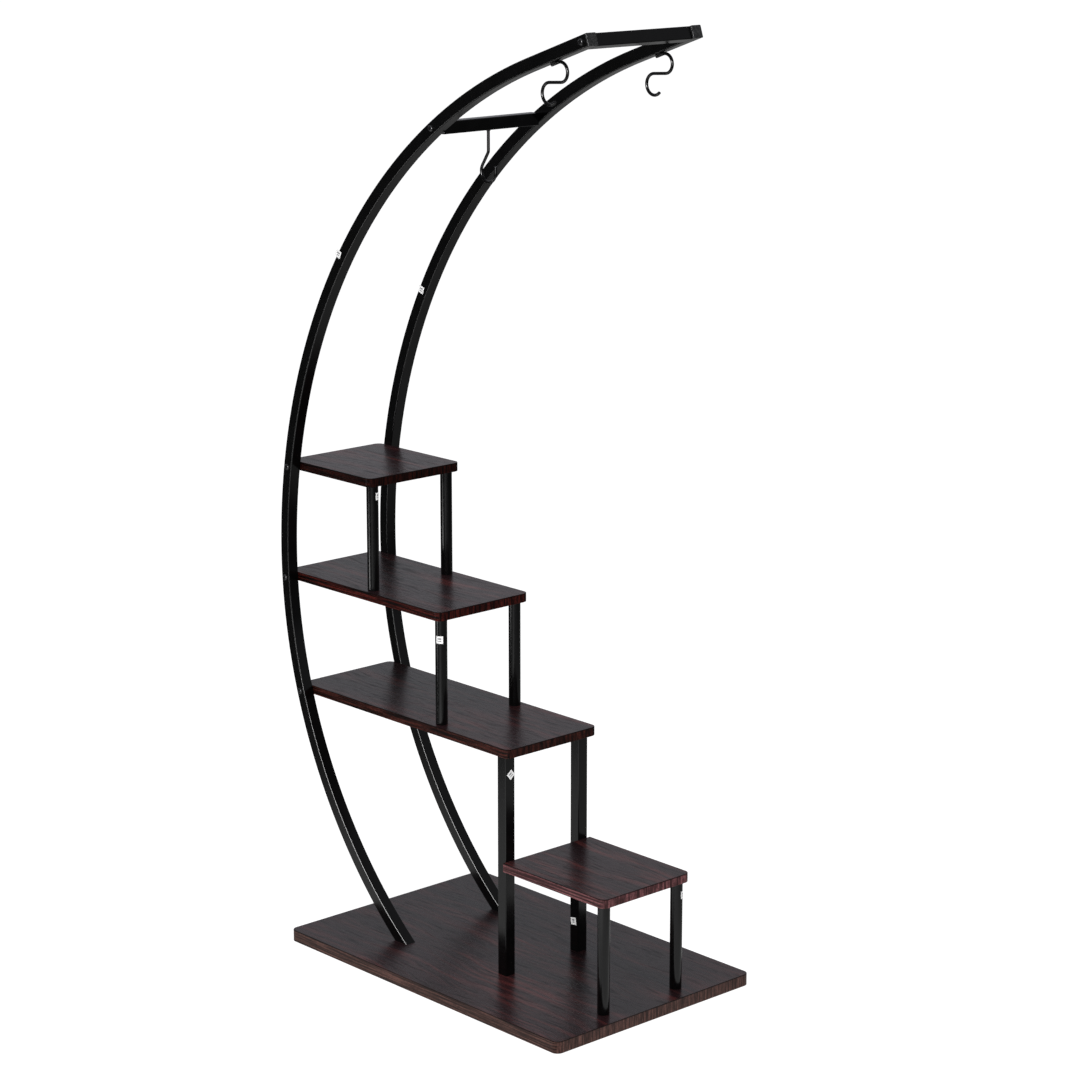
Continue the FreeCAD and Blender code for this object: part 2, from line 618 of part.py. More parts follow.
def rail_hook(side, sign):
    """S-shaped wire welded along the underside of a rail's tip."""
    body = new_body("hook_" + side)
    path = new_sketch(body, "XZ_Plane")
    weld, middle = value("Sizes.hook_weld"), value("Sizes.hook_middle")
    upper, lower = value("Sizes.hook_upper_radius"), value("Sizes.hook_lower_radius")
    turn = Rotation(Vector(0, 0, 1), -value("Sizes.hook_upper_turn"))
    first_centre = Vector(0, -upper)
    first_end = first_centre + turn.multVec(Vector(0, upper))
    second_start = first_end + turn.multVec(Vector(middle, 0))
    second_centre = second_start + turn.multVec(Vector(0, lower))
    sweep = Rotation(Vector(0, 0, 1), value("Sizes.hook_lower_turn"))
    half_sweep = Rotation(Vector(0, 0, 1), value("Sizes.hook_lower_turn") / 2)
    half_turn = Rotation(Vector(0, 0, 1), -value("Sizes.hook_upper_turn") / 2)
    spoke = second_start - second_centre
    path.addGeometry(Part.LineSegment(Vector(-weld, 0), Vector()))
    path.addGeometry(Part.Arc(first_end, first_centre + half_turn.multVec(Vector(0, upper)), Vector()))
    path.addGeometry(Part.LineSegment(first_end, second_start))
    path.addGeometry(Part.Arc(second_start, second_centre + half_sweep.multVec(spoke),
                              second_centre + sweep.multVec(spoke)))
    join(path, "Horizontal", 0)
    join(path, "Coincident", 0, 2, -1, 1)
    join(path, "Tangent", 0, 2, 1, 2)
    join(path, "Tangent", 1, 1, 2, 1)
    join(path, "Tangent", 2, 2, 3, 1)
    measure(path, "Sizes.hook_weld", "Distance", 0)
    measure(path, "Sizes.hook_upper_radius", "Radius", 1)
    measure(path, "Sizes.hook_middle", "Distance", 2)
    measure(path, "Sizes.hook_lower_radius", "Radius", 3)
    measure_angle(path, "Sizes.hook_upper_turn", 1)
    measure_angle(path, "Sizes.hook_lower_turn", 3)
    section = new_sketch(body, "YZ_Plane", z="-Sizes.hook_weld")
    circle(section, "Sizes.hook_wire")
    wire = body.newObject("PartDesign::AdditivePipe", body.Label + "_wire")
    wire.Profile = section
    wire.Spine = path
    bead = new_sketch(body, "XY_Plane", x="-Sizes.hook_weld / 2")
    rectangle(bead, "Sizes.hook_weld", "Sizes.hook_wire")
    pad(body, bead, "Sizes.hook_wire / 2")
    place(body, "Layout.hook_x", sign + "Layout.rail_middle", "Layout.hook_z",
          Rotation(Vector(0, -1, 0), value("Layout.tip_slope")))
    body.setExpression("Placement.Rotation.Angle", "Layout.tip_slope")
    return body


def crossbar_hook():
    """J-shaped wire welded under the middle of the second crossbar."""
    body = new_body("hook_crossbar")
    path = new_sketch(body, "XZ_Plane")
    shank, small = value("Sizes.shank_length"), value("Sizes.shank_bend_radius")
    loop, tip = value("Sizes.loop_radius"), value("Sizes.loop_tip")
    lean = Rotation(Vector(0, 0, 1), -value("Sizes.shank_bend_angle"))
    half_lean = Rotation(Vector(0, 0, 1), -value("Sizes.shank_bend_angle") / 2)
    knee_centre = Vector(-small, -shank)
    knee_end = knee_centre + lean.multVec(Vector(small, 0))
    outward = lean.multVec(Vector(-loop, 0))
    run = (outward.x - knee_end.x) / lean.multVec(Vector(0, -1)).x
    loop_start = knee_end + lean.multVec(Vector(0, -run))
    centre = loop_start - outward
    path.addGeometry(Part.LineSegment(Vector(), Vector(0, -shank)))
    knee_middle = knee_centre + half_lean.multVec(Vector(small, 0))
    path.addGeometry(Part.Arc(Vector(0, -shank), knee_middle, knee_end))
    path.addGeometry(Part.LineSegment(knee_end, loop_start))
    path.addGeometry(Part.Arc(loop_start, centre + Vector(0, -loop), centre + Vector(loop, 0)))
    path.addGeometry(Part.LineSegment(centre + Vector(loop, 0), centre + Vector(loop, tip)))
    join(path, "Coincident", 0, 1, -1, 1)
    join(path, "Vertical", 0)
    join(path, "Tangent", 0, 2, 1, 2)
    join(path, "Tangent", 1, 1, 2, 1)
    join(path, "Tangent", 2, 2, 3, 1)
    join(path, "Tangent", 3, 2, 4, 1)
    join(path, "Vertical", 4)
    join(path, "PointOnObject", 3, 3, -2)
    measure(path, "Sizes.shank_length", "Distance", 0)
    measure(path, "Sizes.shank_bend_radius", "Radius", 1)
    measure_angle(path, "Sizes.shank_bend_angle", 1)
    measure(path, "Sizes.loop_radius", "Radius", 3)
    measure(path, "Sizes.loop_tip", "Distance", 4)
    section = new_sketch(body, "XY_Plane")
    circle(section, "Sizes.hook_wire")
    wire = body.newObject("PartDesign::AdditivePipe", body.Label + "_wire")
    wire.Profile = section
    wire.Spine = path
    weld = new_sketch(body, "XY_Plane")
    circle(weld, "Sizes.weld_diameter")
    pad(body, weld, "Sizes.weld_height", back=True)
    return place(body, "Layout.second_bar_x", "0", "Layout.second_bar_z - Sizes.tube_side / 2")


# Posts and the plugs in their ends

def round_post(label, x, sign, bottom, length):
    body = new_body(label)
    section = new_sketch(body, "XY_Plane")
    circle(section, "Sizes.post_diameter")
    circle(section, "Sizes.post_diameter - 2 * Sizes.post_wall")
    pad(body, section, length)
    return place(body, x, sign + "Layout.post_row", bottom)


def tall_post(side, sign):
    body = new_body("post_tall_%s_tube" % side)
    section = new_sketch(body, "XY_Plane")
    tube_ring(section, "Sizes.tube_side", "Sizes.tube_wall", "Sizes.tube_corner")
    pad(body, section, "Sizes.tall_post_length")
    place(body, "Sizes.tall_post_x", sign + "Layout.post_row", "Layout.base_top")
    hole = cutter("Layout.side_left - Sizes.tube_side - 1", sign + "Layout.post_row", "Layout.side_mid",
                  "+x", "Layout.screw_hole", "Sizes.tube_side + 2")
    return cut("post_tall_" + side, body, [hole])


def bushing(label, outer, length, square=False):
    """Threaded piece set into a tube or board, flush with its own Z = 0."""
    body = new_body(label)
    section = new_sketch(body, "XY_Plane")
    if square:
        rounded_square(section, outer, "0.2")
    else:
        circle(section, outer)
    circle(section, "Layout.thread_bore")
    pad(body, section, length, back=True)
    return body


def posts():
    pieces = []
    for side, sign in SIDES:
        pieces += [
            round_post("post_top_" + side, "Layout.top_post_x", sign,
                       "Layout.middle_bottom + Sizes.board_thickness", "Sizes.post_length"),
            round_post("post_middle_" + side, "Layout.middle_post_x", sign,
                       "Layout.lower_bottom + Sizes.board_thickness", "Sizes.post_length"),
            round_post("leg_side_" + side, "Layout.side_leg_x", sign,
                       "Layout.base_top", "Sizes.side_leg_length"),
            tall_post(side, sign),
        ]
    return pieces


def tube_end_places(x, bottom, top):
    return (front_and_rear(x, "Layout.post_row", bottom, POINTING["-z"])
            + front_and_rear(x, "Layout.post_row", top, POINTING["+z"]))


def post_plugs():
    round_plug = bushing("round_plug", "Layout.plug_round", "Sizes.plug_length")
    square_plug = bushing("square_plug", "Layout.plug_side", "Sizes.plug_length", square=True)
    over = "Layout.%s_bottom + Sizes.board_thickness"
    ends = tube_end_places("Layout.top_post_x", over % "middle", "Layout.top_bottom")
    ends += tube_end_places("Layout.middle_post_x", over % "lower", "Layout.middle_bottom")
    ends += tube_end_places("Layout.side_leg_x", "Layout.base_top", "Layout.side_bottom")
    tall_ends = tube_end_places("Sizes.tall_post_x", "Layout.base_top", "Layout.lower_bottom")
    return [group("round_post_plugs", (round_plug, ends)),
            group("square_post_plugs", (square_plug, tall_ends))]


# Screws, bolts, studs and inserts

def screw(label, length, head_diameter, head_height):
    """Domed screw: head above its own Z = 0, shank below, hexagon socket in the head."""
    body = new_body(label)
    shank = new_sketch(body, "XY_Plane")
    circle(shank, "Sizes.screw_diameter")
    pad(body, shank, length, back=True)
    seat = new_sketch(body, "XY_Plane")
    circle(seat, head_diameter)
    head = pad(body, seat, head_height)
    top = value(head_height) - 0.01
    fillet(body, head, "0.6 * " + head_height, lambda edge: edge.BoundBox.ZMin > top)
    recess = new_sketch(body, "XY_Plane", z=head_height)
    hexagon(recess, "Sizes.socket_width")
    pocket(body, recess, "Sizes.socket_depth")
    return body


def rail_screws():
    """Domed screws on the rails' outer faces and behind the tall posts, with their inserts."""
    shelf_screw = screw("shelf_screw", "Sizes.tube_side + Layout.shelf_grip",
                        "Sizes.head_diameter", "Sizes.head_height")
    bar_screw = screw("bar_screw", "Sizes.tube_side + Sizes.plug_grip",
                      "Sizes.head_diameter", "Sizes.head_height")
    insert = bushing("edge_insert", "Sizes.insert_diameter", "Sizes.insert_length")
    heads, inserts, bar_heads = [], [], []
    for _, sign in SIDES:
        turn = POINTING[OUTWARD[sign]]
        for tier in TIERS:
            x, z = "Layout.%s_screw_x" % tier, "Layout.%s_mid" % tier
            heads.append((x, sign + "Layout.rail_outer", z, turn))
            inserts.append((x, sign + "Layout.rail_inner", z, turn))
        for bar in ("top_bar", "second_bar"):
            bar_heads.append(("Layout.%s_x" % bar, sign + "Layout.rail_outer", "Layout.%s_z" % bar, turn))
    spot = ("Layout.post_row", "Layout.side_mid", POINTING["-x"])
    side_heads = front_and_rear("Layout.side_left - Sizes.tube_side", *spot)
    side_inserts = front_and_rear("Layout.side_left", *spot)
    return [group("shelf_screws", (shelf_screw, heads)),
            group("shelf_edge_inserts", (insert, inserts)),
            group("crossbar_screws", (bar_screw, bar_heads)),
            group("side_shelf_screws", (shelf_screw, side_heads)),
            group("side_shelf_inserts", (insert, side_inserts))]


def bolts():
    """Bolts up through the boards into the posts and rail feet that stand on them."""
    head = ("Sizes.bolt_head_diameter", "Sizes.bolt_head_height")
    base_web = "Sizes.base_thickness - Layout.recess_depth"
    post_bolt = screw("base_bolt", "%s + Sizes.plug_grip" % base_web, *head)
    foot_bolt = screw("foot_bolt", "%s + Sizes.foot_grip" % base_web, *head)
    shelf_bolt = screw("shelf_bolt", "Sizes.board_thickness - Layout.recess_depth + Sizes.plug_grip",
                       *head)
    up = POINTING["-z"]
    seat = "Layout.recess_depth"
    base_places = front_and_rear("Sizes.tall_post_x", "Layout.post_row", seat, up)
    base_places += front_and_rear("Layout.side_leg_x", "Layout.post_row", seat, up)
    foot_places = front_and_rear("Layout.foot_bolt_x", "Layout.rail_middle", seat, up)
    shelf_places = front_and_rear("Layout.top_post_x", "Layout.post_row",
                                  "Layout.middle_bottom + " + seat, up)
    shelf_places += front_and_rear("Layout.middle_post_x", "Layout.post_row",
                                   "Layout.lower_bottom + " + seat, up)
    return [group("base_bolts", (post_bolt, base_places)),
            group("rail_foot_bolts", (foot_bolt, foot_places)),
            group("shelf_bolts", (shelf_bolt, shelf_places))]


def studs():
    """Studs from the posts' upper plugs into inserts in the boards they carry."""
    body = new_body("stud")
    section = new_sketch(body, "XY_Plane", z="-Sizes.plug_grip")
    circle(section, "Sizes.screw_diameter")
    pad(body, section, "Sizes.plug_grip + Layout.stud_grip")
    insert = bushing("underside_insert", "Sizes.insert_diameter", "Sizes.insert_depth")
    tops = (("Layout.top_post_x", "top"), ("Layout.middle_post_x", "middle"),
            ("Sizes.tall_post_x", "lower"), ("Layout.side_leg_x", "side"))
    stud_places, insert_places = [], []
    for x, tier in tops:
        spot = (x, "Layout.post_row", "Layout.%s_bottom" % tier)
        stud_places += front_and_rear(*spot, POINTING["+z"])
        insert_places += front_and_rear(*spot, POINTING["-z"])
    return [group("post_studs", (body, stud_places)),
            group("underside_inserts", (insert, insert_places))]


def build():
    pieces = base_board()
    pieces += rail_shelf("top", "Layout.top_post_x")
    pieces += rail_shelf("middle", "Layout.middle_post_x", bolt_x="Layout.top_post_x")
    pieces += rail_shelf("lower", "Sizes.tall_post_x", bolt_x="Layout.middle_post_x")
    pieces += side_shelf()
    for side, sign in SIDES:
        pieces += [rail_lower(side, sign), rail_upper(side, sign), rail_sleeve(side, sign),
                   rail_foot_plug(side, sign), rail_cap(side, sign), rail_hook(side, sign)]
    pieces += crossbars() + [crossbar_hook()] + posts() + post_plugs()
    return pieces + rail_screws() + bolts() + studs()


def save(pieces):
    """Stops on any faulty object, then writes one file per piece."""
    doc.recompute()
    for thing in doc.Objects:
        if {"Invalid", "Error"} & set(thing.State):
            raise RuntimeError("%s is faulty: %s" % (thing.Label, thing.State))
    os.makedirs("parts", exist_ok=True)
    for piece in pieces:
        if piece.Shape.isNull() or not piece.Shape.isValid():
            raise RuntimeError(piece.Label + " has no valid shape")
        piece.Shape.exportStep(os.path.join("parts", piece.Label + ".step"))


save(build())
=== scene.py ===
import json
import math

import bpy
from mathutils import Matrix, Vector

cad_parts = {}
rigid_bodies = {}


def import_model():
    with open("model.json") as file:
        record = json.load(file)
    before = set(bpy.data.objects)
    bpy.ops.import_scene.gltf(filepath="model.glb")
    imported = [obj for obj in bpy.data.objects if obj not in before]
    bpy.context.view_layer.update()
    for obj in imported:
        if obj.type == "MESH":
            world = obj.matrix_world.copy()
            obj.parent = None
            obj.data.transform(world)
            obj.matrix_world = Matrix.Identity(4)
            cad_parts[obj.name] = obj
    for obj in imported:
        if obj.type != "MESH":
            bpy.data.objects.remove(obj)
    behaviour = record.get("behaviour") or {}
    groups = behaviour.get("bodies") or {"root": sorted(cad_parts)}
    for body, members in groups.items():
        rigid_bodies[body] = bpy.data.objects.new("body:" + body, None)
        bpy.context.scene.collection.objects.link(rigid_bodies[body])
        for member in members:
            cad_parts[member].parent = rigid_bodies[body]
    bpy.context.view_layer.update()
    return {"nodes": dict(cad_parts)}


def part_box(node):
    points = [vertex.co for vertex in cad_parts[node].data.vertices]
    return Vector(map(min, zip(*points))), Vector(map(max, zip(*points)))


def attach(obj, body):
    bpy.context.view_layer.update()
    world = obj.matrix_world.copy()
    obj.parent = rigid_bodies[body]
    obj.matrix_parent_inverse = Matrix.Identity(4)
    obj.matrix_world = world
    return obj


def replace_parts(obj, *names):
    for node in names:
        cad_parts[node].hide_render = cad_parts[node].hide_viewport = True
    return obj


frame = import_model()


# Boards: the base and the four shelves are particle board faced on both sides with printed
# paper under clear resin. The print is a dark red-brown wood whose grain runs along the stand,
# and the resin has the fine pores of the wood pressed into its satin surface.
BOARDS = ("base_board", "shelf_lower", "shelf_middle", "shelf_top", "side_shelf")
SWAY_STRETCH = (3.0, 8.0, 8.0)
SWAY_REACH = 4.0
FIGURE_STRETCH = (4.0, 55.0, 55.0)
BROAD_STRETCH = (0.5, 0.3, 0.3)
LINE_STRETCH = (4.0, 3.5, 3.5)
PORE_STRETCH = (40.0, 900.0, 900.0)
DARK_GROUND = (0.018, 0.0085, 0.0105, 1)
RED_GROUND = (0.032, 0.0125, 0.0145, 1)
STREAK_RED = (0.125, 0.032, 0.031, 1)
LINE_BROWN = (0.0055, 0.0035, 0.0042, 1)
PORE_BROWN = (0.0060, 0.0035, 0.0040, 1)
LINE_COVER = 0.6
PORE_COVER = 0.6
RESIN_ROUGHNESS = 0.25


class Value:
    """A number, colour or vector of a finish. Sums and products of numbers add Math nodes."""

    def __init__(self, tree, socket):
        self.tree = tree
        self.socket = socket

    def node(self, kind, settings, sockets, output=0):
        """Adds a node, sets its settings, then gives its sockets their values or links."""
        new = self.tree.nodes.new("ShaderNode" + kind)
        for name, setting in settings.items():
            setattr(new, name, setting)
        fill_sockets(self.tree, new, sockets)
        return Value(self.tree, new.outputs[output])

    def reckon(self, operation, first, second):
        return self.node("Math", {"operation": operation}, {0: first, 1: second})

    def __add__(self, other):
        return self.reckon("ADD", self, other)

    def __sub__(self, other):
        return self.reckon("SUBTRACT", self, other)

    def __rsub__(self, other):
        return self.reckon("SUBTRACT", other, self)

    def __mul__(self, other):
        return self.reckon("MULTIPLY", self, other)

    def __lt__(self, other):
        return self.reckon("LESS_THAN", self, other)

    __radd__ = __add__
    __rmul__ = __mul__

    def size(self):
        """The number without its sign."""
        return self.reckon("ABSOLUTE", self, 0.0)

    def stretched(self, scale):
        return self.node("Mapping", {}, {"Vector": self, "Scale": scale})

    def noise(self, scale=1.0, detail=2.0, roughness=0.5):
        return self.node("TexNoise", {}, {"Vector": self, "Scale": scale, "Detail": detail,
                                          "Roughness": roughness})

    def rising(self, low, high):
        """0 below low, 1 above high and smooth between them."""
        return self.node("MapRange", {"interpolation_type": "SMOOTHSTEP"},
                         {"Value": self, "From Min": low, "From Max": high})

    def blend(self, at_zero, at_one):
        """The colour that goes from one to the other as this number goes from 0 to 1."""
        return self.node("Mix", {"data_type": "RGBA"}, {0: self, 6: at_zero, 7: at_one}, output=2)

    def along(self, axis):
        """One of a vector's three parts."""
        return self.node("SeparateXYZ", {}, {"Vector": self}, output=axis)

    def grey(self):
        """The neutral colour of this brightness."""
        return self.node("CombineColor", {}, {0: self, 1: self, 2: self})

    def bump(self, depth, strength):
        return self.node("Bump", {}, {"Height": self, "Distance": depth, "Strength": strength})


def fill_sockets(tree, node, sockets):
    for name, given in sockets.items():
        if isinstance(given, Value):
            tree.links.new(given.socket, node.inputs[name])
        else:
            node.inputs[name].default_value = given


def new_finish(name):
    """A new material, with the place on the piece as a value to build its patterns on."""
    material = bpy.data.materials.new(name)
    material.use_nodes = True
    tree = material.node_tree
    return material, Value(tree, tree.nodes.new("ShaderNodeTexCoord").outputs["Object"])


def lay_on(material, sockets):
    """Gives the material's surface shader its values and links."""
    tree = material.node_tree
    fill_sockets(tree, tree.nodes["Principled BSDF"], sockets)


def dress(material, names):
    for name in names:
        frame["nodes"][name].material_slots[0].material = material


laminate, place = new_finish("dark_wood_laminate")
sway = place.stretched(SWAY_STRETCH).noise()
drift = sway.node("CombineXYZ", {}, {"Y": sway * SWAY_REACH})
figure = drift.node("VectorMath", {"operation": "ADD"}, {0: place.stretched(FIGURE_STRETCH), 1: drift})
broad = figure.stretched(BROAD_STRETCH).noise()
streaks = figure.noise(detail=4.0, roughness=0.6)
lines = figure.stretched(LINE_STRETCH).noise(detail=3.0, roughness=0.6)
pores = place.stretched(PORE_STRETCH).noise(roughness=0.6)
red_streaks = streaks.rising(0.45, 0.68) * (0.30 + 0.70 * broad.rising(0.38, 0.62))
dark_lines = lines.rising(0.50, 0.68)
open_pores = pores.rising(0.50, 0.66)
ground = broad.rising(0.3, 0.7).blend(DARK_GROUND, RED_GROUND)
tinted = red_streaks.blend(ground, STREAK_RED)
lined = (dark_lines * LINE_COVER).blend(tinted, LINE_BROWN)
lay_on(laminate, {
    "Base Color": (open_pores * PORE_COVER).blend(lined, PORE_BROWN),
    "Roughness": RESIN_ROUGHNESS + dark_lines * 0.12 + open_pores * 0.10,
    "IOR": 1.5,
    "Normal": (streaks * 0.4 - dark_lines * 0.4 - open_pores).bump(depth=0.00010, strength=0.4)})
dress(laminate, BOARDS)


# Edge bands: a strip of the same printed paper on plastic, 1 mm thick, glued round each board
# and trimmed flush. Its top edge is painted dark: the glue seam, and painted shade on the rounded
# edge. Along the sides its print runs with the board; at the ends it stands upright. Each band's
# browns are painted light and shade: paler on the base and side shelf, darker on the shelves above.
BAND_LIT_AND_SHADED_COLOURS = {
    "base_board": ((0.0300, 0.0135, 0.0105, 1), (0.2100, 0.1000, 0.0800, 1)),
    "side_shelf": ((0.0600, 0.0230, 0.0235, 1), (0.4200, 0.1650, 0.1750, 1)),
    "shelf_lower": ((0.0042, 0.0012, 0.0009, 1), (0.1250, 0.0320, 0.0230, 1)),
    "shelf_middle": ((0.0036, 0.0008, 0.0006, 1), (0.1500, 0.0210, 0.0150, 1)),
    "shelf_top": ((0.0018, 0.0005, 0.0004, 1), (0.0580, 0.0100, 0.0066, 1))}
LENGTHWISE_STRETCH = (9.0, 60.0, 380.0)
UPRIGHT_STRETCH = (60.0, 300.0, 26.0)
FLECK_STRETCH = (300.0, 300.0, 900.0)
FLECK_COVER = 0.7
# The band's top edge is painted dark: the glue seam along the top, and painted shade down the rounded
# edge.
EDGE_SEAM_SHADE_DEPTH = (0.0008, 0.0020)
EDGE_SEAM_SHADE_COLOUR = (0.0040, 0.0014, 0.0013, 1)
EDGE_SEAM_SHADE_COVER = 0.85
BAND_ROUGHNESS = 0.34


def band_finish(board, dark, pale):
    """The finish of one board's band, from its darkest and palest brown, painted lighter or darker for
    the light on that board.
    """
    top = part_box(board + "_edge_band")[1].z
    material, place = new_finish(board + "_red_brown_band")
    facing = place.node("NewGeometry", {}, {}, output="Normal")
    end_face = facing.along(0).size().rising(0.55, 0.8)
    lengthwise = place.stretched(LENGTHWISE_STRETCH).noise(detail=4.0, roughness=0.65)
    upright = place.stretched(UPRIGHT_STRETCH).noise(detail=4.0, roughness=0.65)
    grain = end_face * (0.15 + 0.7 * upright) + (1 - end_face) * lengthwise
    flecks = place.stretched(FLECK_STRETCH).noise(roughness=0.6)
    brown = grain.rising(0.41, 0.65).blend(dark, pale)
    flecked = (flecks.rising(0.50, 0.66) * FLECK_COVER).blend(brown, dark)
    # Dark within 0.8 mm to 2 mm of the top: the glue seam, and painted shade on the rounded edge below
    # it.
    below_top = top - place.along(2)
    seam = 1 - below_top.rising(*EDGE_SEAM_SHADE_DEPTH)
    lay_on(material, {
        "Base Color": (seam * EDGE_SEAM_SHADE_COVER).blend(flecked, EDGE_SEAM_SHADE_COLOUR),
        "Roughness": BAND_ROUGHNESS + grain * 0.1,
        "Specular IOR Level": 0.15,
        "Normal": (grain - flecks * 0.5).bump(depth=0.0001, strength=0.3)})
    return material


# Each board gets its own browns: painted light on the base and side shelf, painted shade on the
# shelves above.
for board, colours in BAND_LIT_AND_SHADED_COLOURS.items():
    dress(band_finish(board, *colours), [board + "_edge_band"])


# Rails: on each side a lower length of square steel tube is bent from the base board up to the
# widest point of the arch, and an upper length from there over to a straight tip. A sleeve joins
# them inside. All tubes and wires have one coat of gloss black baked paint with a faint ripple.
BODY = "root"
RAIL_WALL = 0.0012
RAIL_CORNER = 0.0016
CORNER_STEPS = 8
LOWER_BEND = (0.802, -54.0)
UPPER_BEND = (0.910, 71.0)
TIP_LENGTH = 0.135
BEND_STEP = 1.0
SMOOTH_ANGLE = 30.0
PAINT_BLACK = (0.0008, 0.0008, 0.0009, 1)
PAINT_CLOUD = (0.0018, 0.0018, 0.0020, 1)
PAINT_ROUGHNESS = 0.14

paint, place = new_finish("gloss_black_paint")
ripple = place.noise(scale=300.0, detail=1.0)
clouds = place.noise(scale=38.0, detail=3.0, roughness=0.6)
lay_on(paint, {
    "Base Color": clouds.rising(0.35, 0.65).blend(PAINT_BLACK, PAINT_CLOUD),
    "Roughness": PAINT_ROUGHNESS + clouds * 0.08,
    "IOR": 1.45,
    "Normal": ripple.bump(depth=0.00003, strength=0.10)})


def start_alone():
    """Leaves nothing selected, so that the next operator acts on the new piece alone."""
    bpy.ops.object.select_all(action="DESELECT")


def draw_out(at, heading, moves, step):
    """Draws the selected loop of edges out along straight runs and bends in the upright plane.

    A move is a length, or a bend's radius and its angle in degrees, positive where the tube turns
    clockwise as seen from the front. Returns the end's place and heading.
    """
    for move in moves:
        if isinstance(move, tuple):
            radius, angle = move
            turn = Matrix.Rotation(math.radians(angle), 3, "Y")
            inward = Matrix.Rotation(math.copysign(math.pi / 2, angle), 3, "Y") @ heading
            centre = at + radius * inward
            bpy.ops.mesh.spin(steps=math.ceil(abs(angle) / step), angle=math.radians(angle),
                              center=centre, axis=(0, -1, 0))
            at = centre + turn @ (at - centre)
            heading = turn @ heading
        else:
            bpy.ops.mesh.extrude_region_move(TRANSFORM_OT_translate={"value": move * heading})
            at = at + move * heading
    return at, heading


def face_outwards():
    """Turns the faces of the piece being edited outwards."""
    bpy.ops.mesh.select_all(action="SELECT")
    bpy.ops.mesh.normals_make_consistent(inside=False)
    bpy.ops.object.mode_set(mode="OBJECT")


def apply_modifier(kind, settings):
    piece = bpy.context.object
    modifier = piece.modifiers.new(kind.lower(), kind)
    for name, setting in settings.items():
        setattr(modifier, name, setting)
    bpy.ops.object.modifier_apply(modifier=modifier.name)


def smooth_flats():
    """Smooths the rounded edges of the active piece and keeps its flat faces flat."""
    bpy.ops.object.shade_smooth_by_angle(angle=math.radians(SMOOTH_ANGLE))
    apply_modifier("WEIGHTED_NORMAL", {"keep_sharp": True})


def end_painted(name):
    """Names the active piece, paints it and sets it on the stand."""
    piece = bpy.context.object
    piece.name = name
    piece.data.materials.append(paint)
    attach(piece, BODY)
    return piece


def bent_rail(side_length, joint, heading, moves):
    """A square tube with rounded edges from the joint along the moves, as the active piece."""
    start_alone()
    bpy.ops.mesh.primitive_plane_add(size=side_length, location=joint)
    bpy.ops.object.transform_apply(location=True)
    bpy.ops.object.mode_set(mode="EDIT")
    bpy.ops.mesh.bevel(offset=RAIL_CORNER, segments=CORNER_STEPS, affect="VERTICES")
    bpy.ops.mesh.delete(type="ONLY_FACE")
    bpy.ops.mesh.select_all(action="SELECT")
    end = draw_out(joint, Vector(heading), moves, BEND_STEP)
    face_outwards()
    apply_modifier("SOLIDIFY", {"thickness": RAIL_WALL, "offset": -1.0})
    return end


base_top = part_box("base_board")[1].z
tips = {}
for side in ("front", "rear"):
    low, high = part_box("rail_upper_" + side)
    rail_side = high.y - low.y
    joint = Vector((low.x + rail_side / 2, (low.y + high.y) / 2, low.z))
    tips[side] = bent_rail(rail_side, joint, (0, 0, 1), [UPPER_BEND, TIP_LENGTH])
    smooth_flats()
    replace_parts(end_painted("upper_rail_" + side), "rail_upper_" + side)
    bent_rail(rail_side, joint, (0, 0, -1), [LOWER_BEND])
    bpy.ops.object.mode_set(mode="EDIT")
    bpy.ops.mesh.select_all(action="SELECT")
    bpy.ops.mesh.bisect(plane_co=(0, 0, base_top), plane_no=(0, 0, 1), clear_inner=True, use_fill=True)
    bpy.ops.object.mode_set(mode="OBJECT")
    smooth_flats()
    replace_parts(end_painted("lower_rail_" + side), "rail_lower_" + side)


# Crossbars and posts: square tube across the rails and under the lower shelf, round tube under the
# other shelves, all in the rails' paint. Screws through the rails and bolts through the boards
# hold them by the plugs in their ends.
CROSSBARS = ("crossbar_top", "crossbar_second")
POSTS = ("post_top_front", "post_top_rear", "post_middle_front", "post_middle_rear",
         "post_tall_front", "post_tall_rear", "leg_side_front", "leg_side_rear")
dress(paint, CROSSBARS + POSTS)


# Hooks: steel wire bent to an S and welded along the underside of each rail tip, and a third one
# bent to a J and welded under the second crossbar. They are painted together with the tubes.
HOOK_SETBACK = 0.078
HOOK_WELD = 0.016
S_BENDS = [(0.015, 195.0), 0.026, (0.0165, -222.0)]
SHANK_LENGTH = 0.033
SHANK_BEND = (0.008, 33.0)
LOOP_RADIUS = 0.017
LOOP_TIP = 0.009
HALF_TURN = 180.0
WIRE_STEPS = 24
WIRE_BEND_STEP = 6.0
WIRE_EASE = 0.0008
EASE_STEPS = 3
WELD_STEPS = 16
BEAD_RADIUS = 0.0012
BEAD_ADVANCE = 0.0012
BEAD_SWELL = 1.45
BEAD_RIPPLES = 5
BEAD_RINGS = [(BEAD_ADVANCE, BEAD_SWELL), (BEAD_ADVANCE, 1 / BEAD_SWELL)] * BEAD_RIPPLES
BEAD_ASIDE_SHARE = 0.42
BEAD_BELOW_SHARE = 0.12
COLLAR_RADIUS = 0.0044
COLLAR_RINGS = [(0.0006, 1.0), (0.0006, 0.84), (0.0007, 0.86), (0.0008, 0.88)]


def start_ring(steps, radius, at, heading, fill_type="NOTHING"):
    """A circle square to the heading, alone and selected in edit mode."""
    start_alone()
    bpy.ops.mesh.primitive_circle_add(vertices=steps, radius=radius, location=at, fill_type=fill_type,
                                      rotation=heading.to_track_quat("Z", "Y").to_euler())
    bpy.ops.object.transform_apply(location=True, rotation=True)
    bpy.ops.object.mode_set(mode="EDIT")
    bpy.ops.mesh.select_all(action="SELECT")


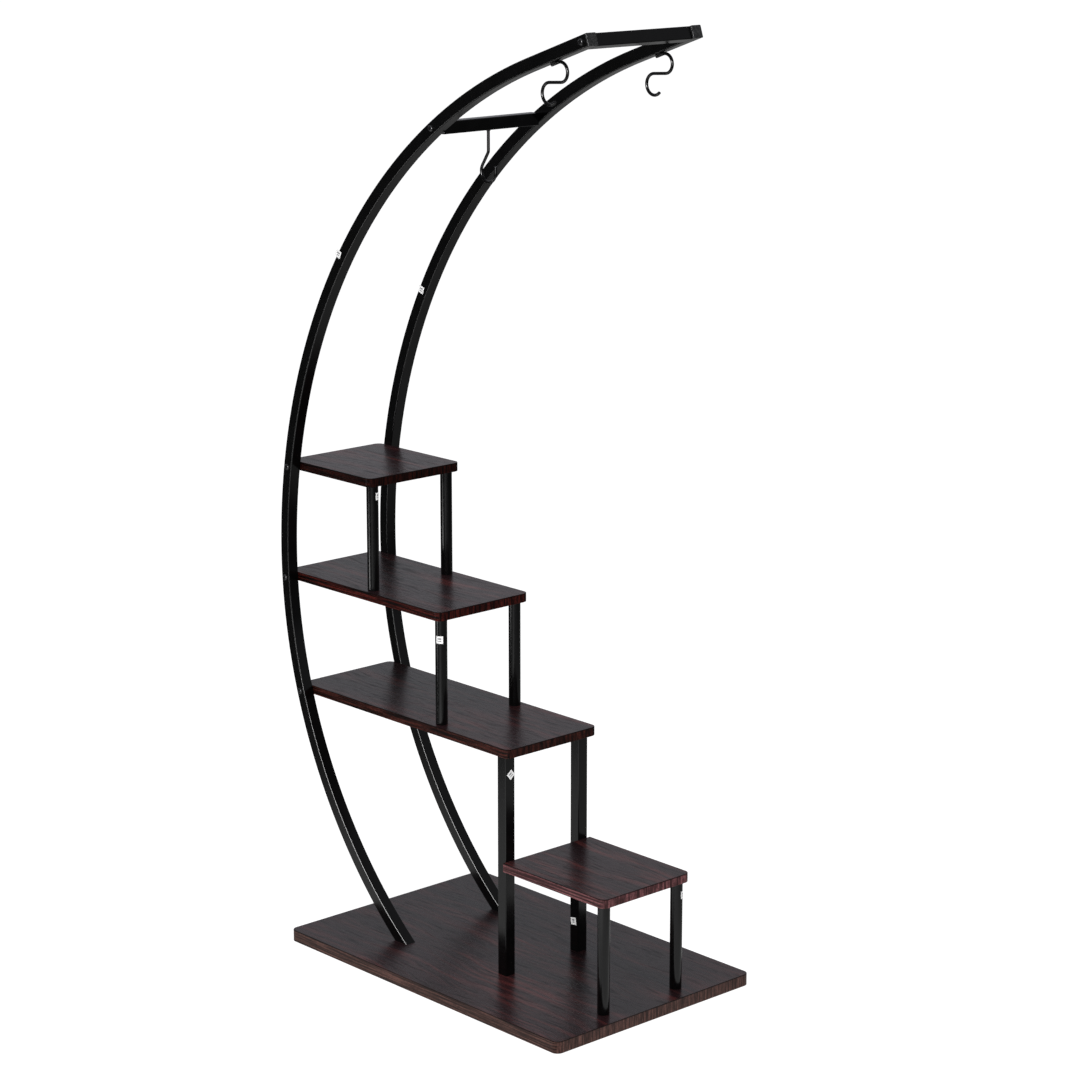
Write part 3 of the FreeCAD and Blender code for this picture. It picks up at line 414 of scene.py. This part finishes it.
def bent_wire(thickness, at, heading, moves):
    """Round wire with eased ends from a point along the moves, as the active piece."""
    start_ring(WIRE_STEPS, thickness / 2, at, heading)
    draw_out(at, heading, moves, WIRE_BEND_STEP)
    bpy.ops.mesh.select_all(action="DESELECT")
    bpy.ops.mesh.select_non_manifold()
    bpy.ops.mesh.edge_face_add()
    bpy.ops.mesh.bevel(offset=WIRE_EASE, segments=EASE_STEPS, affect="EDGES")
    face_outwards()
    smooth_flats()


def weld(name, at, heading, radius, rings):
    """Weld metal built up in rings: for each, how far on it lies and how much wider it is."""
    start_ring(WELD_STEPS, radius, at, heading, fill_type="NGON")
    for advance, swell in rings:
        at = at + heading * advance
        bpy.ops.mesh.extrude_region_move(TRANSFORM_OT_translate={"value": heading * advance})
        bpy.ops.transform.resize(value=(swell, swell, swell), center_override=at)
    face_outwards()
    apply_modifier("SUBSURF", {"levels": 1, "render_levels": 1})
    bpy.ops.object.shade_smooth()
    end_painted(name)


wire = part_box("hook_front")[1].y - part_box("hook_front")[0].y
for side in ("front", "rear"):
    tip, heading = tips[side]
    down = Matrix.Rotation(math.pi / 2, 3, "Y") @ heading
    seam = tip - heading * (HOOK_SETBACK + HOOK_WELD) + down * rail_side / 2
    bent_wire(wire, seam + down * wire / 2, heading, [HOOK_WELD] + S_BENDS)
    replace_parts(end_painted("s_hook_" + side), "hook_" + side)
    for hand, across in (("left", -1), ("right", 1)):
        aside = Vector((0, across * wire * BEAD_ASIDE_SHARE, 0))
        corner = seam + aside + down * wire * BEAD_BELOW_SHARE
        weld("hook_weld_%s_%s" % (side, hand), corner + heading * BEAD_RADIUS, heading,
             BEAD_RADIUS, BEAD_RINGS)

low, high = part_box("crossbar_second")
under_bar = Vector(((low.x + high.x) / 2, 0, low.z))
downwards = Vector((0, 0, -1))
bend_radius, bend_angle = SHANK_BEND
bend_turn = math.radians(bend_angle)
lean_out = LOOP_RADIUS * math.cos(bend_turn) - bend_radius * (1 - math.cos(bend_turn))
lean_run = lean_out / math.sin(bend_turn)
bent_wire(wire, under_bar, downwards,
          [SHANK_LENGTH, SHANK_BEND, lean_run, (LOOP_RADIUS, -HALF_TURN - bend_angle), LOOP_TIP])
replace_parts(end_painted("j_hook"), "hook_crossbar")
weld("hook_weld_crossbar", under_bar, downwards, COLLAR_RADIUS, COLLAR_RINGS)


# Tip caps: square plugs of black moulded plastic pressed into the upper ends of the rails.
# The flange that shows has a fine leather-like grain and is duller than the paint beside it.
CAP_DARK = (0.024, 0.0243, 0.0248, 1)
CAP_PALE = (0.050, 0.0506, 0.0516, 1)
CAP_ROUGHNESS = 0.28
PEBBLE_SCALE = 900.0

cap_plastic, place = new_finish("grained_black_plastic")
pebbles = place.node("TexVoronoi", {"feature": "SMOOTH_F1"}, {"Vector": place, "Scale": PEBBLE_SCALE})
mottle = place.noise(scale=220.0, detail=3.0, roughness=0.6)
lay_on(cap_plastic, {
    "Base Color": mottle.rising(0.35, 0.65).blend(CAP_DARK, CAP_PALE),
    "Roughness": CAP_ROUGHNESS + mottle * 0.14,
    "IOR": 1.47,
    "Normal": (pebbles + mottle * 0.3).bump(depth=0.00018, strength=0.5)})
dress(cap_plastic, ("rail_cap_front", "rail_cap_rear"))


# Screws: button heads with a hexagon socket, blackened and oiled, that hold the shelves and the
# crossbars to the rails and the side shelf to the tall posts.
SCREW_DARK = (0.011, 0.011, 0.012, 1)
SCREW_PALE = (0.03, 0.03, 0.032, 1)
SCREW_ROUGHNESS = 0.2

blackened, place = new_finish("blackened_screw_steel")
tarnish = place.noise(scale=700.0, detail=3.0, roughness=0.6)
lay_on(blackened, {
    "Base Color": tarnish.rising(0.35, 0.7).blend(SCREW_DARK, SCREW_PALE),
    "Roughness": SCREW_ROUGHNESS + tarnish * 0.14,
    "IOR": 1.6,
    "Normal": tarnish.bump(depth=0.00003, strength=0.3)})
dress(blackened, ("shelf_screws", "crossbar_screws", "side_shelf_screws"))


# Hidden hardware: the sleeves in the rail joints, the plugs in the tube ends, the inserts, studs
# and bolts are bright zinc-plated steel. What shows of them shows only from underneath.
HARDWARE = ("rail_sleeve_front", "rail_sleeve_rear", "rail_foot_plug_front", "rail_foot_plug_rear",
            "crossbar_plugs", "round_post_plugs", "square_post_plugs", "shelf_edge_inserts",
            "side_shelf_inserts", "underside_inserts", "post_studs", "base_bolts",
            "rail_foot_bolts", "shelf_bolts")
ZINC_DARK = (0.46, 0.47, 0.49, 1)
ZINC_PALE = (0.66, 0.67, 0.68, 1)
ZINC_ROUGHNESS = 0.28

zinc, place = new_finish("bright_zinc_plate")
spangle = place.noise(scale=260.0, detail=4.0, roughness=0.65)
lay_on(zinc, {
    "Base Color": spangle.rising(0.3, 0.7).blend(ZINC_DARK, ZINC_PALE),
    "Metallic": 1.0,
    "Roughness": ZINC_ROUGHNESS + spangle * 0.2,
    "Normal": spangle.bump(depth=0.00004, strength=0.3)})
dress(zinc, HARDWARE)


# Labels: small squares of white paper, printed with two plain grey bars, that mark the posts and
# rails for assembly. They are stuck on by hand: on square tube each leans its own way, and on a
# round post it follows the curve.
LABEL_SIDE = 0.0125
LABEL_PAPER = 0.00012
LABEL_CORNER = 0.0006
LABEL_CORNER_STEPS = 3
ROUND_STEPS = 144
MARK_HALF_WIDTH = 0.0030
MARK_BARS = ((-0.0028, -0.0013), (0.0007, 0.0030))
BAR_EDGES = sum(MARK_BARS, ())
PAPER_GREY = (0.86, 0.86, 0.85, 1)
PAPER_WHITE = (0.93, 0.93, 0.925, 1)
PAPER_ROUGHNESS = 0.5
INK_DARK = (0.10, 0.10, 0.11, 1)
INK_PALE = (0.26, 0.26, 0.27, 1)
INK_ROUGHNESS = 0.5
FORWARDS = (0, -1, 0)
TO_THE_RIGHT = (1, 0, 0)

paper, place = new_finish("white_label_paper")
fibre = place.noise(scale=1800.0, detail=3.0, roughness=0.6)
lay_on(paper, {
    "Base Color": fibre.rising(0.3, 0.7).blend(PAPER_GREY, PAPER_WHITE),
    "Roughness": PAPER_ROUGHNESS + fibre * 0.15,
    "Normal": fibre.bump(depth=0.00003, strength=0.3)})

ink, place = new_finish("grey_label_ink")
patches = place.noise(scale=1400.0, detail=3.0, roughness=0.6)
lay_on(ink, {
    "Base Color": patches.rising(0.35, 0.65).blend(INK_DARK, INK_PALE),
    "Roughness": INK_ROUGHNESS + patches * 0.1})


def cut_across(axis, places):
    """Cuts the label being edited square to an axis at each of the places."""
    for spot in places:
        bpy.ops.mesh.select_all(action="SELECT")
        bpy.ops.mesh.bisect(plane_co=spot * axis, plane_no=axis)


def print_mark(label, offsets):
    """Inks two plain bars on the label. The offsets give a face's place across and up the label."""
    label.data.materials.append(paper)
    label.data.materials.append(ink)
    for face in label.data.polygons:
        across, up = offsets(face.center)
        on_bar = any(low < up < high for low, high in MARK_BARS)
        face.material_index = int(on_bar and abs(across) < MARK_HALF_WIDTH)


def stick_on(label, name, centre, turn):
    """Gives the label its thickness, turns it, sets it at its centre on the stand and names it."""
    apply_modifier("SOLIDIFY", {"thickness": LABEL_PAPER, "offset": 1.0})
    label.matrix_world = Matrix.Translation(centre) @ turn
    bpy.ops.object.transform_apply(location=True, rotation=True, scale=True)
    label.name = name
    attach(label, BODY)


def flat_label(name, centre, outward, lean):
    """A label on a flat face: centre on the face, the face's normal, and its lean in degrees."""
    start_alone()
    bpy.ops.mesh.primitive_plane_add(size=LABEL_SIDE)
    label = bpy.context.object
    bpy.ops.object.mode_set(mode="EDIT")
    bpy.ops.mesh.select_all(action="SELECT")
    bpy.ops.mesh.bevel(offset=LABEL_CORNER, segments=LABEL_CORNER_STEPS, affect="VERTICES")
    cut_across(Vector((1, 0, 0)), (-MARK_HALF_WIDTH, MARK_HALF_WIDTH))
    cut_across(Vector((0, 1, 0)), BAR_EDGES)
    bpy.ops.object.mode_set(mode="OBJECT")
    print_mark(label, lambda spot: (spot.x, spot.y))
    stand_up = Vector(outward).to_track_quat("Z", "Y").to_matrix().to_4x4()
    stick_on(label, name, centre, stand_up @ Matrix.Rotation(math.radians(lean), 4, "Z"))


def round_label(name, post, height, bearing):
    """A label round a post: the post's node, the label's height and the bearing it faces."""
    low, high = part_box(post)
    middle = (low + high) / 2
    radius = (high.x - low.x) / 2
    half_angle = LABEL_SIDE / radius / 2
    start_alone()
    bpy.ops.mesh.primitive_cylinder_add(vertices=ROUND_STEPS, radius=radius, depth=LABEL_SIDE,
                                        end_fill_type="NOTHING")
    label = bpy.context.object
    bpy.ops.object.mode_set(mode="EDIT")
    bpy.ops.mesh.select_all(action="DESELECT")
    bpy.ops.object.mode_set(mode="OBJECT")
    for face in label.data.polygons:
        face.select = abs(math.atan2(face.center.y, face.center.x)) > half_angle
    bpy.ops.object.mode_set(mode="EDIT")
    bpy.ops.mesh.delete(type="FACE")
    cut_across(Vector((0, 0, 1)), BAR_EDGES)
    bpy.ops.object.mode_set(mode="OBJECT")
    print_mark(label, lambda spot: (math.atan2(spot.y, spot.x) * radius, spot.z))
    stick_on(label, name, (middle.x, middle.y, height), Matrix.Rotation(math.radians(bearing), 4, "Z"))


front_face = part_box("rail_upper_front")[0].y
rear_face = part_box("rail_upper_rear")[0].y
tall_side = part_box("post_tall_front")[1].x
tall_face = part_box("post_tall_rear")[0].y
flat_label("label_rail_front", centre=(-0.2950, front_face, 1.1690), outward=FORWARDS, lean=-24)
flat_label("label_rail_rear", centre=(-0.3450, rear_face, 1.0810), outward=FORWARDS, lean=-20)
flat_label("label_post_tall_front", centre=(tall_side, -0.0790, 0.3630), outward=TO_THE_RIGHT, lean=40)
flat_label("label_post_tall_rear", centre=(0.0650, tall_face, 0.0720), outward=FORWARDS, lean=8)
round_label("label_post_middle", "post_middle_front", height=0.5560, bearing=-58)
round_label("label_post_top", "post_top_front", height=0.7660, bearing=30)
round_label("label_leg_side", "leg_side_rear", height=0.1800, bearing=36)


# Studio: a plain white floor that runs out of sight, which gloss sees dimmer and with pools of
# light on it, soft light from all sides, and soft lamps. Some of the lamps light only the gloss
# of black pieces, for the bright lines along tubes and hooks, and one lights the labels alone.
FLOOR_SIDE = 80.0
FLOOR_GAP = 0.0002
FLOOR_GREY = (0.3, 0.3, 0.3, 1)
FLOOR_SHINE = 0.97
FLOOR_GLOW = 0.05
FLOOR_POOLS = {
    "front": {"centre": (0.1, -0.55, 0.0), "inner": 0.7, "outer": 1.15, "glow": 0.28},
    "near": {"centre": (1.2, -1.0, 0.0), "inner": 1.0, "outer": 2.6, "glow": 0.18},
    "ahead": {"centre": (0.35, -1.1, 0.0), "inner": 0.3, "outer": 0.8, "glow": 0.70},
    "right": {"centre": (1.1, -2.3, 0.0), "inner": 0.4, "outer": 1.2, "glow": 0.40},
    "rail_line": {"centre": (-1.3, -2.3, 0.0), "inner": 0.2, "outer": 0.7, "glow": 7.0},
    "rear": {"centre": (-0.1, 0.9, 0.0), "inner": 0.8, "outer": 2.6, "glow": 0.15},
    "far": {"centre": (-2.6, 2.6, 0.0), "inner": 0.8, "outer": 2.4, "glow": 0.20}}
RING_WIDTH = (0.04, 0.10)
RING_GLOW = 0.15
WHITE = (1, 1, 1, 1)
BACK_LEFT = (-0.74, 0.67)
LEVEL_TURN = math.radians(90)
FIRST_REFLECTION = 2
WALL_DIM = (0.20, 0.20, 0.21, 1)
WALL_BRIGHT = (0.335, 0.340, 0.365, 1)


def pool_light(place, centre, inner, outer, glow):
    """A pool of light on the floor, even within the inner radius and fading to the outer one."""
    away = place.node("VectorMath", {"operation": "DISTANCE"}, {0: place, 1: centre}, output=1)
    return glow * (1 - away.rising(inner, outer))


start_alone()
bpy.ops.mesh.primitive_plane_add(size=FLOOR_SIDE, location=(0, 0, -FLOOR_GAP))
bpy.ops.object.transform_apply(location=True)
floor = bpy.context.object
floor.name = "studio_floor"
floor_white, place = new_finish("studio_floor_white")
lay_on(floor_white, {
    "Base Color": FLOOR_GREY,
    "Roughness": 0.9,
    "Specular IOR Level": 0.0,
    "Emission Color": WHITE,
    "Emission Strength": FLOOR_SHINE})
half_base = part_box("base_board_edge_band")[1]
off_ends = place.along(0).size() - half_base.x
off_sides = place.along(1).size() - half_base.y
off_base = place.reckon("MAXIMUM", off_ends, off_sides)
glow = FLOOR_GLOW + RING_GLOW * (1 - off_base.rising(*RING_WIDTH))
for pool in FLOOR_POOLS.values():
    glow = glow + pool_light(place, **pool)
mirrored = place.node("Emission", {}, {"Color": glow.grey(), "Strength": 1.0})
tree = floor_white.node_tree
white = Value(tree, tree.nodes["Principled BSDF"].outputs[0])
camera_ray = place.node("LightPath", {}, {}, output="Is Camera Ray")
floor_seen = place.node("MixShader", {}, {0: camera_ray, 1: mirrored, 2: white})
fill_sockets(tree, tree.nodes["Material Output"], {"Surface": floor_seen})
floor.data.materials.append(floor_white)

world = bpy.data.worlds.new("studio_walls")
bpy.context.scene.world = world
world.use_nodes = True
walls = world.node_tree
walls.nodes.clear()
direction = Value(walls, walls.nodes.new("ShaderNodeTexCoord").outputs["Generated"])
camera_ray = direction.node("LightPath", {}, {}, output="Is Camera Ray")
behind = direction.along(0) * BACK_LEFT[0] + direction.along(1) * BACK_LEFT[1]
wall_light = behind.rising(0.2, 0.8).blend(WALL_DIM, WALL_BRIGHT)
shown = camera_ray.blend(wall_light, WHITE)
shine = shown.node("Background", {}, {"Color": shown, "Strength": 1.0})
fill_sockets(walls, walls.nodes.new("ShaderNodeOutputWorld"), {"Surface": shine})


def add_lamp(spot, turn, size, power):
    """An area lamp that gloss doesn't see, turned from facing straight down."""
    bpy.ops.object.light_add(type="AREA", location=spot, rotation=turn)
    lamp = bpy.context.object
    lamp.data.shape = "RECTANGLE"
    lamp.data.size, lamp.data.size_y = size
    lamp.data.energy = power
    lamp.visible_glossy = False
    lamp.visible_camera = False
    return lamp


def side_lamp(bearing, reach, height, size, power):
    """A lamp that stands on a bearing from the stand and faces it."""
    across = math.radians(bearing)
    spot = (reach * math.cos(across), reach * math.sin(across), height)
    return add_lamp(spot, (LEVEL_TURN, 0, across + LEVEL_TURN), size, power)


def light_only(lamp, pieces):
    """Lets the lamp light the given pieces and nothing else."""
    lit = bpy.data.collections.new("lit_pieces")
    for piece in pieces:
        lit.objects.link(piece)
    lamp.light_linking.receiver_collection = lit


def light_gloss(lamp, pieces):
    """Lets only the gloss of the given pieces show the lamp, and only in a first reflection.

    A ray's depth counts the lamp that it ends at, so it is 2 for a lamp seen in one reflection.
    """
    lamp.visible_glossy = True
    lamp.visible_diffuse = False
    lamp.data.use_nodes = True
    tree = lamp.data.node_tree
    depth = Value(tree, tree.nodes.new("ShaderNodeLightPath").outputs["Ray Depth"])
    seen_once = depth < FIRST_REFLECTION + 0.5
    fill_sockets(tree, tree.nodes["Emission"], {"Strength": seen_once})
    light_only(lamp, pieces)


glossy = {paint.name, blackened.name}
black_pieces = [piece for piece in bpy.data.objects if glossy & set(piece.material_slots.keys())]
lower_rails = [piece for piece in black_pieces if piece.name.startswith("lower_rail_")]
sparkling = [piece for piece in bpy.data.objects
             if piece.name.startswith(("s_hook_", "j_hook", "rail_cap_"))
             or piece.name.endswith("_screws")]
labels = [piece for piece in bpy.data.objects if piece.name.startswith("label_")]
add_lamp(spot=(0.5, -1.5, 4.5), turn=(0, 0, 0), size=(3.0, 3.0), power=95.0)
side_lamp(bearing=-76.0, reach=4.1, height=1.6, size=(1.4, 2.0), power=13.0)
side_lamp(bearing=-8.0, reach=4.1, height=1.6, size=(1.4, 2.0), power=13.0)
rail_lamp = side_lamp(bearing=-87.0, reach=5.5, height=2.6, size=(2.6, 4.0), power=980.0)
light_gloss(rail_lamp, lower_rails)
spark_lamp = side_lamp(bearing=-70.0, reach=5.5, height=2.4, size=(1.2, 1.6), power=420.0)
light_gloss(spark_lamp, sparkling)
low_lamp = side_lamp(bearing=-55.0, reach=5.5, height=0.75, size=(6.5, 1.4), power=75.0)
light_gloss(low_lamp, black_pieces)
label_lamp = side_lamp(bearing=-45.0, reach=4.1, height=1.6, size=(1.4, 2.0), power=130.0)
light_only(label_lamp, labels)


# Camera: where the photograph was taken from, as found from the straight edges of the boards
# and posts. Its frame is square.
CAMERA_SPOT = (3.57256, -3.22248, 1.90176)
CAMERA_TILT = 76.25
CAMERA_BEARING = 47.47
SENSOR_WIDTH = 36.0
LENS_LENGTH = 102.32

bpy.ops.object.camera_add(location=CAMERA_SPOT,
                          rotation=(math.radians(CAMERA_TILT), 0, math.radians(CAMERA_BEARING)))
camera = bpy.context.object
camera.data.sensor_width = SENSOR_WIDTH
camera.data.lens = LENS_LENGTH
bpy.context.scene.camera = camera
bpy.context.scene.view_settings.view_transform = "Standard"
